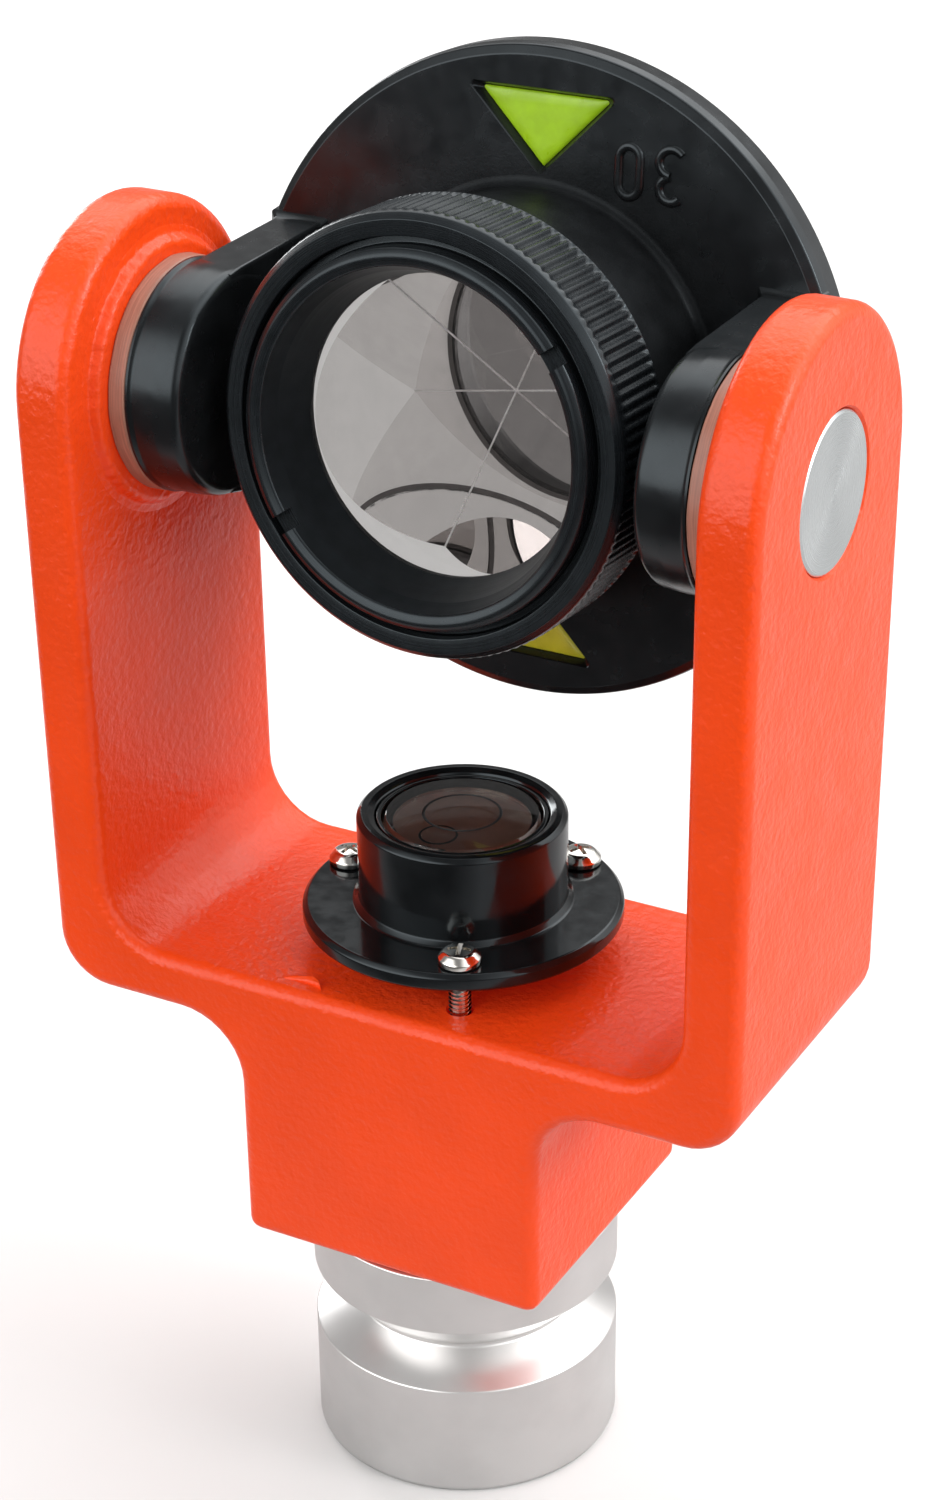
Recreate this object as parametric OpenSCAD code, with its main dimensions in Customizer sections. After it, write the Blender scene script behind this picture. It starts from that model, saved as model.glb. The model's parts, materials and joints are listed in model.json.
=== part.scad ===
// Tilting survey prism on a pole spigot, with an adjustable circular vial.
// Millimetres. Origin at the centre of the spigot's bottom face, +Z up.
// The prism looks along -Y and tilts about an axis parallel to X.

/* [Spigot] */
// Outer radius of both bands
spigot_r = 14.3; // [12:0.1:15]
// Overall height of the spigot
spigot_h = 24.4; // [24:0.1:28]
// Top of the lower band
lower_band_h = 11.7; // [10:0.1:12]
// Height of the bottom of the V groove
groove_z = 14.3; // [13.5:0.1:15]
// Radius at the bottom of the V groove
groove_r = 10.5; // [10:0.1:12]
// Underside of the upper band
upper_band_z = 18.4; // [17:0.1:19]
// Nominal radius of the female pole thread
pole_thread_r = 7.94; // [6:0.01:8.5]
// Depth of the female pole thread
pole_thread_depth = 12; // [8:0.5:12]

/* [Yoke] */
// Depth of the yoke, front to back
yoke_depth = 29.4; // [29:0.1:31]
// Clear width between the ears
inner_width = 56.4; // [56.4:0.1:58]
// Thickness of each ear
ear_t = 5.4; // [5.4:0.1:6]
// Thickness of the floor
floor_t = 5; // [5:0.1:6]
// Width of the stem block
stem_w = 29.8; // [29:0.1:31]
// Height of the stem block below the floor
stem_h = 21.9; // [20:0.1:24]
// Radius of the inner floor corners
inner_fillet_r = 6; // [3:0.5:7]
// Radius of the outer lower corners
outer_corner_r = 5; // [3:0.5:5]
// Radius of the fillets beside the stem
stem_fillet_r = 6; // [3:0.5:7]
// Height of the tilt axis above the floor
pivot_above_floor = 48.9; // [48.5:0.1:52]
// Radius of the raised boss round each pivot
boss_r = 11.6; // [11:0.1:13]
// Height of the boss above the ear's inner face
boss_t = 1; // [0.8:0.1:1.2]

/* [Pivots] */
// Radius of the turned caps in the outer faces
cap_r = 6.6; // [6.4:0.1:7]
// Radius of the friction washers and lugs
lug_r = 10; // [9:0.1:10.5]
// Thickness of the friction washers
washer_t = 1.65; // [1.2:0.05:1.65]

/* [Target] */
// Tilt of the prism as modelled, front side up
tilt_deg = 4.4; // [0:0.1:8]
// Radius of the target disc
disc_r = 28.1; // [27:0.1:28.1]
// Distance of the disc's front face behind the tilt axis
disc_y = 13.8; // [13:0.1:14]
// Thickness of the target disc
disc_t = 3.8; // [3:0.1:4]
// Radius of the hub in front of the disc
hub_r = 16.6; // [16.4:0.1:17]
// Inner side of the arms and lugs
arm_x = 20.6; // [20:0.1:21]
// Half height of the arms where they meet the disc
arm_half_h = 10.9; // [10.5:0.1:11]
// Half width of the triangular recesses
triangle_half_w = 6.9; // [6:0.1:7]
// Half width of the fluorescent inlays
inlay_half_w = 5.7; // [4:0.1:5.8]

/* [Canister] */
// Radius over the knurl
knurl_r = 18.4; // [18:0.1:18.6]
// Number of knurl ridges
knurl_count = 126; // [60:2:130]
// Front face, in front of the tilt axis
canister_front = 6.3; // [6:0.1:6.5]
// Clear aperture radius of the prism
aperture_r = 12.5; // [12:0.1:12.6]
// Radius of the glass
glass_r = 13.2; // [13:0.05:13.2]

/* [Vial] */
// Height of the flange's underside above the floor
flange_gap = 2.9; // [2.6:0.1:3.2]
// Radius of the round flange
flange_r = 14.3; // [14:0.1:14.5]
// Thickness of the flange
flange_t = 1.75; // [1.5:0.05:2]
// Outer radius of the cup
cup_r = 9.3; // [8.8:0.1:9.4]
// Height of the cup rim above the floor
cup_top = 13.1; // [12:0.1:13.2]
// Offset of the vial centre towards the back
vial_y = 0.5; // [0:0.1:0.5]
// Radius of the adjusting screw circle
screw_circle_r = 12; // [11.8:0.1:12.1]
// Direction of the front adjusting screw, degrees from +X
front_screw_deg = -63; // [-70:1:-50]
// Distance of the bubble from the vial centre
bubble_offset = 3.5; // [0:0.1:3.8]

/* [Hidden] */
$fn = 64;
eps = 0.01;
floor_z = spigot_h + stem_h + floor_t;
under_z = spigot_h + stem_h;
pivot_z = floor_z + pivot_above_floor;
inner_x = inner_width / 2;
outer_x = inner_x + ear_t;
boss_x = inner_x - boss_t;
washer_x = boss_x - washer_t;
lug_x = washer_x - 0.05;
cap_t = 1.6;
head_x = outer_x - cap_t;
spring_x = boss_x + 2.2;
bush_r = 4.2;
shoulder_r = 3;
bolt_r = 4;
neck_r = 14.6;
ring_r = 16.4;
ring_in_r = 13.6;
lip_r = 15.3;
lip_front = canister_front + 1;
glass_y = -1.2;
apex_y = 19.3;
barrel_back = 20;
seal_y = 1.45;
screw_r = 1;
head_r = 1.9;
hole_r = 1.25;

// ---- placing helpers ----
module at_target() translate([0, 0, pivot_z]) rotate([-tilt_deg, 0, 0]) children();
// a turned part: profile of [radius, y] points spun about the Y axis
module turned_y(points) rotate([-90, 0, 0]) rotate_extrude($fn = 96) polygon(points);
module turned_z(points) rotate_extrude($fn = 96) polygon(points);
// children drawn along +Z are laid along +X at the tilt axis
module at_pivot(side) translate([0, 0, pivot_z]) mirror([side < 0 ? 1 : 0, 0, 0]) rotate([0, 90, 0]) children();
module tube(r1, r2, z1, z2) translate([0, 0, z1]) difference() {
  cylinder(r = r2, h = z2 - z1);
  translate([0, 0, -1]) cylinder(r = r1, h = z2 - z1 + 2);
}
module at_vial(deg = 0, r = 0) translate([r * cos(deg), vial_y + r * sin(deg), floor_z]) children();
function screw_deg(i) = front_screw_deg + 120 * i;

// ---- yoke ----
module corner_cut(r) difference() { square(r + 1); circle(r = r); }
module front_outline() difference() {
  union() {
    translate([-outer_x, under_z]) square([2 * outer_x, pivot_z + yoke_depth - under_z]);
    translate([-stem_w / 2, spigot_h]) square([stem_w, stem_h + 1]);
    for (s = [-1, 1]) mirror([s < 0 ? 1 : 0, 0]) difference() {
      translate([stem_w / 2 - 1, under_z - stem_fillet_r]) square([stem_fillet_r + 1, stem_fillet_r + 1]);
      translate([stem_w / 2 + stem_fillet_r, under_z - stem_fillet_r]) circle(r = stem_fillet_r);
    }
  }
  for (s = [-1, 1]) mirror([s < 0 ? 1 : 0, 0])
    translate([outer_x - outer_corner_r, under_z + outer_corner_r]) mirror([0, 1]) corner_cut(outer_corner_r);
  difference() {
    translate([-inner_x, floor_z]) square([inner_width, 120]);
    for (s = [-1, 1]) mirror([s < 0 ? 1 : 0, 0])
      translate([inner_x - inner_fillet_r, floor_z + inner_fillet_r]) mirror([0, 1]) corner_cut(inner_fillet_r);
  }
}
module side_outline() {
  translate([-yoke_depth / 2, 0]) square([yoke_depth, pivot_z]);
  translate([0, pivot_z]) circle(d = yoke_depth);
}
module yoke() color([0.93, 0.27, 0.13]) difference() {
  union() {
    intersection() {
      rotate([90, 0, 0]) linear_extrude(height = yoke_depth + 2, center = true) front_outline();
      translate([-50, 0, 0]) rotate([90, 0, 90]) linear_extrude(height = 100) side_outline();
    }
    for (s = [-1, 1]) at_pivot(s) translate([0, 0, boss_x]) cylinder(r = boss_r, h = boss_t + 1);
  }
  for (s = [-1, 1]) at_pivot(s) {
    translate([0, 0, boss_x - 1]) cylinder(r = bush_r, h = 10);
    translate([0, 0, spring_x]) cylinder(r = cap_r - 0.7, h = 10);
    translate([0, 0, head_x]) cylinder(r = cap_r, h = 10);
  }
  translate([0, 0, spigot_h - 1]) cylinder(r = bolt_r + 0.4, h = 60);
  translate([0, vial_y, floor_z - 8.5]) cylinder(r = 6.9, h = 20);
  for (i = [0:2]) at_vial(screw_deg(i), screw_circle_r) translate([0, 0, -floor_t - 1])
    cylinder(r = screw_r + 0.03, h = floor_t + 2);
}

// ---- spigot ----
module spigot() color([0.78, 0.79, 0.8]) difference() {
  turned_z([[0, 0], [spigot_r - 0.6, 0], [spigot_r, 0.6], [spigot_r, lower_band_h], [groove_r, groove_z],
    [spigot_r, upper_band_z], [spigot_r, spigot_h], [0, spigot_h]]);
  translate([0, 0, -1]) cylinder(r = pole_thread_r, h = pole_thread_depth + 1);
  translate([0, 0, -eps]) cylinder(r1 = pole_thread_r + 0.8, r2 = pole_thread_r, h = 0.8);
  translate([0, 0, pole_thread_depth + 2.4]) cylinder(r = bolt_r, h = 20);
}
module spigot_bolt() color([0.3, 0.3, 0.32]) difference() {
  union() {
    translate([0, 0, pole_thread_depth + 3]) cylinder(r = bolt_r, h = floor_z - 8.5 - pole_thread_depth - 3);
    translate([0, 0, floor_z - 8.5]) cylinder(r = 6.3, h = 8);
  }
  translate([0, 0, floor_z - 4.5]) cylinder(r = 3.46, h = 8, $fn = 6);
}

// ---- pivots ----
module pivot_bush(side) color([0.75, 0.6, 0.3]) at_pivot(side) tube(shoulder_r + 0.05, bush_r, boss_x, spring_x);
module pivot_bush_left() pivot_bush(-1);
module pivot_bush_right() pivot_bush(1);
module pivot_cap(side) color([0.8, 0.81, 0.83]) at_pivot(side)
  turned_z([[0, head_x], [cap_r, head_x], [cap_r, outer_x - 0.2], [cap_r - 0.2, outer_x], [0, outer_x]]);
module pivot_cap_left() pivot_cap(-1);
module pivot_cap_right() pivot_cap(1);
module spring_washer(side) color([0.5, 0.5, 0.52]) at_pivot(side) turned_z([[shoulder_r + 0.2, spring_x + 0.2],
  [5.4, spring_x], [5.4, spring_x + 0.55], [shoulder_r + 0.2, spring_x + 0.75]]);
module spring_washer_left() spring_washer(-1);
module spring_washer_right() spring_washer(1);
module friction_washer(side) color([0.72, 0.5, 0.44]) at_pivot(side) tube(shoulder_r + 0.2, lug_r, washer_x, boss_x);
module friction_washer_left() friction_washer(-1);
module friction_washer_right() friction_washer(1);
module pivot_screw(side) color([0.55, 0.55, 0.57]) at_pivot(side) difference() {
  union() {
    translate([0, 0, arm_x + 0.9]) cylinder(r = 2, h = 6);
    translate([0, 0, lug_x]) cylinder(r = shoulder_r, h = spring_x + 0.8 - lug_x + eps);
    translate([0, 0, spring_x + 0.8]) cylinder(r = 5.2, h = 1.7);
  }
  translate([0, 0, spring_x + 1.3]) cylinder(r = 1.75, h = 5, $fn = 6);
}
module pivot_screw_left() pivot_screw(-1);
module pivot_screw_right() pivot_screw(1);

// ---- target ----
module triangle(half_w, apex_r) polygon([[0, apex_r], [half_w, apex_r + half_w], [-half_w, apex_r + half_w]]);
module triangle_block(up, half_w, apex_r, y1, y2) translate([0, y2, 0]) rotate([90, 0, 0])
  linear_extrude(height = y2 - y1) mirror([0, up < 0 ? 1 : 0]) triangle(half_w, apex_r);
module arm_outline() {
  circle(r = lug_r);
  polygon([[0, -lug_r], [disc_y + 0.5, -arm_half_h], [disc_y + 0.5, arm_half_h], [0, lug_r]]);
}
module bar(x, z, w, h) translate([x, disc_y - 0.35, z]) cube([w, 0.6, h]);
module figures() {
  for (z = [16.6, 20.7]) bar(7.1, z, 2.6, 0.6);
  for (x = [7.1, 9.1]) bar(x, 16.6, 0.6, 4.7);
  for (z = [16.6, 18.65, 20.7]) bar(10.8, z, 2.6, 0.6);
  bar(10.8, 16.6, 0.6, 4.7);
}
module target_holder() color([0.07, 0.07, 0.08]) at_target() difference() {
  union() {
    turned_y([[0, disc_y], [disc_r - 1.2, disc_y], [disc_r - 0.35, disc_y + 0.35], [disc_r, disc_y + 1.2],
      [disc_r, disc_y + disc_t - 0.6], [disc_r - 0.6, disc_y + disc_t], [0, disc_y + disc_t]]);
    turned_y([[0, seal_y + 0.75], [hub_r, seal_y + 0.75], [hub_r, disc_y + 1], [0, disc_y + 1]]);
    for (s = [-1, 1]) mirror([s < 0 ? 1 : 0, 0, 0]) translate([arm_x, 0, 0])
      rotate([90, 0, 90]) linear_extrude(height = lug_x - arm_x) arm_outline();
    figures();
  }
  translate([0, -5, 0]) rotate([-90, 0, 0]) cylinder(r = neck_r + 0.05, h = 40);
  for (s = [-1, 1]) {
    triangle_block(s, triangle_half_w, 17.6, disc_y - 1, disc_y + 1);
    mirror([s < 0 ? 1 : 0, 0, 0]) translate([arm_x + 0.9, 0, 0]) rotate([0, 90, 0]) cylinder(r = 2, h = 20);
  }
}
module inlay_upper() color([0.72, 0.87, 0.15]) at_target() triangle_block(1, inlay_half_w, 18.3, disc_y + 0.6, disc_y + 1);
module inlay_lower() color([0.72, 0.87, 0.15]) at_target() triangle_block(-1, inlay_half_w, 18.3, disc_y + 0.6, disc_y + 1);

// ---- canister ----
module knurl_outline() polygon([for (i = [0:2 * knurl_count - 1])
  (knurl_r - 0.4 * (i % 2)) * [cos(180 * i / knurl_count), sin(180 * i / knurl_count)]]);
module canister_barrel() color([0.06, 0.06, 0.07]) at_target() difference() {
  union() {
    turned_y([[0, -canister_front], [knurl_r - 0.8, -canister_front], [knurl_r - 0.5, -canister_front + 0.3],
      [knurl_r - 0.5, seal_y], [neck_r, seal_y], [neck_r, barrel_back], [0, barrel_back]]);
    translate([0, -canister_front + 0.9, 0]) rotate([-90, 0, 0])
      linear_extrude(height = canister_front + seal_y - 0.9) knurl_outline();
  }
  translate([0, -10, 0]) rotate([-90, 0, 0]) cylinder(r = ring_r, h = 10 - 4.6);
  translate([0, -10, 0]) rotate([-90, 0, 0]) cylinder(r = glass_r + 2, h = 10 + glass_y);
  translate([0, -10, 0]) rotate([-90, 0, 0]) cylinder(r = glass_r + 0.05, h = 40);
}
module retaining_ring() color([0.1, 0.1, 0.11]) at_target() difference() {
  turned_y([[lip_r - 0.7, -lip_front], [lip_r, -lip_front], [lip_r + 0.4, 0.4 - lip_front],
    [lip_r + 0.4, -5.2], [ring_r, -5.2], [ring_r, -4.6], [glass_r + 2, -4.6], [glass_r + 2, glass_y - 0.4],
    [aperture_r, glass_y - 0.4], [ring_in_r, -5.3], [lip_r - 1, 0.2 - lip_front]]);
  for (a = [36, 216]) rotate([0, -a, 0]) translate([13, -9, -0.8]) cube([4, 9 - 6.2, 1.6]);
}
module front_gasket() color([0.12, 0.12, 0.12]) at_target() rotate([-90, 0, 0]) tube(aperture_r + 0.1, glass_r + 1.9, glass_y - 0.4, glass_y);
// three mutually square faces meeting on the Y axis, cut from a glass cylinder
module prism_glass() color([0.75, 0.7, 0.71, 0.5]) at_target() intersection() {
  turned_y([[0, glass_y], [glass_r - 0.4, glass_y], [glass_r, glass_y + 0.4], [glass_r, 30], [0, 30]]);
  translate([0, apex_y, 0]) rotate([90, 0, 0]) rotate([0, 0, 30])
    rotate([0, -atan(sqrt(2)), 0]) rotate([0, 0, -45]) cube(60);
}
module prism_cushion() color([0.2, 0.2, 0.2]) at_target() turned_y([[7.6, 14], [glass_r, 14], [glass_r, barrel_back], [11, barrel_back], [11, 16], [7.6, 16]]);
module rear_cover() color([0.06, 0.06, 0.07]) at_target() turned_y([[0, barrel_back], [neck_r, barrel_back], [neck_r, barrel_back + 1.4],
  [neck_r - 0.6, barrel_back + 2], [0, barrel_back + 2]]);
module cover_o_ring() color([0.1, 0.1, 0.1]) at_target() rotate([-90, 0, 0]) translate([0, 0, barrel_back - 1]) rotate_extrude($fn = 64) translate([9.9, 0]) circle(r = 1);
module canister_seal() color([0.15, 0.15, 0.15]) at_target() rotate([-90, 0, 0]) tube(neck_r + 0.05, hub_r - 0.2, seal_y + 0.02, seal_y + 0.72);

// ---- vial ----
module vial_housing() color([0.05, 0.05, 0.06]) at_vial() difference() {
  turned_z([[0, flange_gap], [flange_r - 0.2, flange_gap], [flange_r, flange_gap + 0.2],
    [flange_r, flange_gap + flange_t - 0.3], [flange_r - 0.3, flange_gap + flange_t],
    [cup_r + 0.4, flange_gap + flange_t], [cup_r, flange_gap + flange_t + 0.4],
    [cup_r, cup_top - 0.7], [cup_r - 0.7, cup_top], [0, cup_top]]);
  translate([0, 0, flange_gap + 1.2]) cylinder(r = 7.6, h = 20);
  for (i = [0:2]) rotate([0, 0, screw_deg(i)]) translate([screw_circle_r, 0, 0]) cylinder(r = hole_r, h = 8);
}
module vial_bezel() color([0.5, 0.5, 0.52]) at_vial() tube(7.1, 7.55, cup_top - 1.6, cup_top - 0.3);
module vial_glass() color([0.6, 0.5, 0.35, 0.5]) at_vial() difference() {
  turned_z([[0, flange_gap + 1.2], [7.05, flange_gap + 1.2], [7.05, cup_top - 0.5], [6.6, cup_top - 0.2], [0, cup_top - 0.2]]);
  turned_z([[0, flange_gap + 2.2], [6.1, flange_gap + 2.2], [6.1, cup_top - 1.9], [0, cup_top - 1.7]]);
  tube(3.3, 3.45, cup_top - 0.3, cup_top);
}
module bubble_body() translate([bubble_offset * cos(-98), bubble_offset * sin(-98), cup_top - 2.55]) cylinder(r = 1.8, h = 0.6);
module vial_fluid() color([0.35, 0.28, 0.1, 0.6]) at_vial() difference() {
  turned_z([[0, flange_gap + 2.2], [6.1, flange_gap + 2.2], [6.1, cup_top - 1.9], [0, cup_top - 1.7]]);
  translate([bubble_offset * cos(-98), bubble_offset * sin(-98), cup_top - 2.55]) cylinder(r = 1.8, h = 0.6);
}
module vial_bubble() color([0.9, 0.9, 0.85, 0.4]) at_vial() bubble_body();
module vial_cushion() color([0.15, 0.15, 0.15]) at_vial() translate([0, 0, flange_gap / 2])
  rotate_extrude($fn = 64) translate([8.6, 0]) circle(r = flange_gap / 2);
module vial_screw(i) color([0.8, 0.8, 0.78]) at_vial(screw_deg(i), screw_circle_r) difference() {
  union() {
    translate([0, 0, -floor_t + 0.8]) cylinder(r = screw_r, h = floor_t + flange_gap + flange_t);
    turned_z([[0, flange_gap + flange_t + 0.1], [head_r, flange_gap + flange_t + 0.1],
      [head_r, flange_gap + flange_t + 0.7], [head_r - 0.7, flange_gap + flange_t + 1.4], [0, flange_gap + flange_t + 1.5]]);
  }
  for (a = [20, 110]) rotate([0, 0, a]) translate([-1.1, -0.2, flange_gap + flange_t + 0.8]) cube([2.2, 0.4, 2]);
}
module vial_screw_front() vial_screw(0);
module vial_screw_rear_right() vial_screw(1);
module vial_screw_rear_left() vial_screw(2);

yoke();
spigot();
spigot_bolt();
pivot_bush_left();
pivot_bush_right();
pivot_cap_left();
pivot_cap_right();
spring_washer_left();
spring_washer_right();
friction_washer_left();
friction_washer_right();
target_holder();
pivot_screw_left();
pivot_screw_right();
inlay_upper();
inlay_lower();
canister_barrel();
retaining_ring();
front_gasket();
prism_glass();
prism_cushion();
rear_cover();
cover_o_ring();
canister_seal();
vial_housing();
vial_bezel();
vial_glass();
vial_fluid();
vial_bubble();
vial_cushion();
vial_screw_front();
vial_screw_rear_right();
vial_screw_rear_left();
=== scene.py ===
"""Tilting survey prism: the visual model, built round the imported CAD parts.

Shapes are drawn in millimetres in each part's own axes. A place, the matrix given to each shape,
turns them into the shared frame in metres.
"""
import json
import math

import bmesh
import bpy
from mathutils import Matrix, Vector


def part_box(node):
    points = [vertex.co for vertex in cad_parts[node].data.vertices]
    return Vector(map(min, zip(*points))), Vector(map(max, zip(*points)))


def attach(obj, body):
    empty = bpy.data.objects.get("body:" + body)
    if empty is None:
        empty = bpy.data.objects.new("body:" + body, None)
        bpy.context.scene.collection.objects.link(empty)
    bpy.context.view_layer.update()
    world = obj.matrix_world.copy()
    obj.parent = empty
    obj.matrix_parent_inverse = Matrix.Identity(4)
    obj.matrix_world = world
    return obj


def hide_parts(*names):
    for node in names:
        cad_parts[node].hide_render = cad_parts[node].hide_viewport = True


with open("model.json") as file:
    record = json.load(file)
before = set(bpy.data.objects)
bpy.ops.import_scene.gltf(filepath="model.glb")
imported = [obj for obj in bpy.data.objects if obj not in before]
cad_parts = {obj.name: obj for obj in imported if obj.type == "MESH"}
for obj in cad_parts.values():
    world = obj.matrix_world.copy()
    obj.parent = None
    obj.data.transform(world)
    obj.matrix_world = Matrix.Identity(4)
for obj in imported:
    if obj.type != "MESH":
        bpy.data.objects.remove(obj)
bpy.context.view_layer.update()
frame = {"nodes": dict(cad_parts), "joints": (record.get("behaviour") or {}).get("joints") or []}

MM = 0.001
TAU = 2 * math.pi


# ---------------------------------------------------------------- places
def joint(name):
    return next(j for j in frame["joints"] if j["name"] == name)


def axes(origin, x, y):
    """A frame at origin (metres) whose x and y axes are given; local units are millimetres."""
    x, y = Vector(x).normalized(), Vector(y).normalized()
    z = x.cross(y)
    turn = Matrix((x, y, z)).transposed().to_4x4()
    return Matrix.Translation(Vector(origin)) @ turn @ Matrix.Scale(MM, 4)


def centre(node):
    lo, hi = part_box(node)
    return (lo + hi) / 2


PIVOT = Vector(joint("target_tilt")["pos_m"])
LOOK = Vector(joint("canister_turn")["axis"])
FLOOR_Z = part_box("vial_cushion")[0].z
WORLD = Matrix.Scale(MM, 4)   # the shared frame itself, in millimetres
TARGET = axes(PIVOT, (1, 0, 0), -LOOK)
SPIN_Y = Matrix.Rotation(-math.pi / 2, 4, "X")   # local Z of a lathe becomes +Y
TURN_Y = TARGET @ SPIN_Y
SCREWS = ("vial_screw_front", "vial_screw_rear_right", "vial_screw_rear_left")


def outwards(side):
    """The turn that lays local +Z along X, for side -1 or 1."""
    return Matrix.Rotation(side * math.pi / 2, 4, "Y")


def side_place(side):
    """Local +Z runs outwards along X from the tilt axis, for side -1 or 1."""
    return Matrix.Translation(PIVOT) @ outwards(side) @ WORLD


def upright(node, z=0):
    """Local +Z runs up through the middle of a CAD node, from height z in metres."""
    c = centre(node)
    return Matrix.Translation((c.x, c.y, z)) @ WORLD


VIAL = upright("vial_housing", FLOOR_Z)


# ---------------------------------------------------------------- shapes
def new_object(name, mesh):
    o = bpy.data.objects.new(name, mesh)
    bpy.context.scene.collection.objects.link(o)
    return o


def from_bmesh(name, bm, place=None):
    bmesh.ops.recalc_face_normals(bm, faces=bm.faces)
    mesh = bpy.data.meshes.new(name)
    bm.to_mesh(mesh)
    bm.free()
    if place is not None:
        mesh.transform(place)
    return new_object(name, mesh)


def rounded(points, steps=6, closed=True):
    """Corners given as (a, b, radius) become arcs; the rest stay sharp."""
    out, n = [], len(points)
    for i, p in enumerate(points):
        here = Vector(p[:2])
        radius = p[2] if len(p) > 2 else 0
        ends = not closed and i in (0, n - 1)
        if not radius or ends:
            out.append(here)
            continue
        back = Vector(points[i - 1][:2]) - here
        ahead = Vector(points[(i + 1) % n][:2]) - here
        lengths = back.length, ahead.length
        back.normalize()
        ahead.normalize()
        half = back.angle(ahead) / 2
        if half > math.pi / 2 - 0.01:
            out.append(here)
            continue
        run = min(radius / math.tan(half), 0.49 * min(lengths))
        radius = run * math.tan(half)
        middle = here + (back + ahead).normalized() * (radius / math.sin(half))
        a = here + back * run - middle
        sweep = a.angle_signed(here + ahead * run - middle)
        for k in range(steps + 1):
            turn = Matrix.Rotation(-sweep * k / steps, 2)
            out.append(middle + turn @ a)
    return out


def lathe(name, points, place, segments=128, steps=6, wave=None):
    """A closed profile of (radius, height, corner radius) spun about local Z."""
    ring = rounded(points, steps)
    bm = bmesh.new()
    on_axis = {}
    for i, p in enumerate(ring):
        if p.x < 1e-6:
            on_axis[i] = bm.verts.new((0, 0, p.y))
    columns = []
    for s in range(segments):
        a = TAU * s / segments
        column = []
        for i, p in enumerate(ring):
            if i in on_axis:
                column.append(on_axis[i])
                continue
            r = p.x + (wave(a, p.x, p.y) if wave else 0)
            column.append(bm.verts.new((r * math.cos(a), r * math.sin(a), p.y)))
        columns.append(column)
    for s in range(segments):
        a, b = columns[s], columns[(s + 1) % segments]
        for i in range(len(ring)):
            j = (i + 1) % len(ring)
            quad = []
            for v in (a[i], a[j], b[j], b[i]):
                if v not in quad:
                    quad.append(v)
            if len(quad) > 2:
                bm.faces.new(quad)
    return from_bmesh(name, bm, place)


def prism(name, outline, low, high, place):
    """A flat outline in local XY, pulled from z = low to z = high; outline corners may be rounded."""
    ring = rounded(outline, 8)
    bm = bmesh.new()
    bottom = [bm.verts.new((p.x, p.y, low)) for p in ring]
    top = [bm.verts.new((p.x, p.y, high)) for p in ring]
    bm.faces.new(bottom)
    bm.faces.new(top)
    for i in range(len(ring)):
        j = (i + 1) % len(ring)
        bm.faces.new((bottom[i], bottom[j], top[j], top[i]))
    return from_bmesh(name, bm, place)


def loft(name, rings, place):
    """Skins rings of equally many points, capped at both ends."""
    bm = bmesh.new()
    rows = [[bm.verts.new(p) for p in ring] for ring in rings]
    bm.faces.new(rows[0])
    bm.faces.new(rows[-1])
    for a, b in zip(rows, rows[1:]):
        for i in range(len(a)):
            j = (i + 1) % len(a)
            bm.faces.new((a[i], a[j], b[j], b[i]))
    return from_bmesh(name, bm, place)


def bake(o):
    """Makes o's modifiers permanent."""
    graph = bpy.context.evaluated_depsgraph_get()
    mesh = bpy.data.meshes.new_from_object(o.evaluated_get(graph))
    o.modifiers.clear()
    o.data = mesh
    return o


def soften(o, width, segments=3, angle=30):
    """Rounds every edge sharper than angle; width is in millimetres."""
    m = o.modifiers.new("edge", "BEVEL")
    m.width, m.segments = width * MM, segments
    m.limit_method, m.angle_limit = "ANGLE", math.radians(angle)
    m.use_clamp_overlap = False
    m.miter_outer = "MITER_ARC"
    return bake(o)


def combine(o, tools, operation):
    for t in tools:
        m = o.modifiers.new("combine", "BOOLEAN")
        m.operation, m.object, m.solver = operation, t, "EXACT"
    bake(o)
    for t in tools:
        bpy.data.objects.remove(t)
    return o


def add(o, *tools):
    return combine(o, tools, "UNION")


def cut(o, *tools):
    return combine(o, tools, "DIFFERENCE")


def helix(radius, depth, pitch, low, high, place, segments):
    """A thread ridge wound about local Z from low to high, tapered at both ends."""
    turns = (high - low) / pitch
    count = int(turns * segments)
    rings = []
    for k in range(count + 1):
        a = TAU * k / segments
        z = low + (high - low) * k / count
        fade = min(1, 4 * k / segments, 4 * (count - k) / segments)
        crest = radius - depth + max(0.02, fade) * depth
        c, s = math.cos(a), math.sin(a)
        inner, half = radius - depth - 0.05, pitch * 0.42
        shape = ((inner, -half), (crest, -pitch * 0.08), (crest, pitch * 0.08), (inner, half))
        rings.append([(r * c, r * s, z + h) for r, h in shape])
    return loft("thread", rings, place)


def dress(o, material, body, node=None, smooth=32):
    """Smooth shading, one material or several, the body, and the CAD node that the piece stands for, which
    is hidden.
    """
    o.data.materials.clear()
    for m in material if isinstance(material, (list, tuple)) else [material]:
        o.data.materials.append(m)
    o.data.shade_smooth()
    o.data.set_sharp_from_angle(angle=math.radians(smooth))
    m = o.modifiers.new("normals", "WEIGHTED_NORMAL")
    m.keep_sharp = True
    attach(o, body)
    if node:
        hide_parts(node)
    return o


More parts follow.
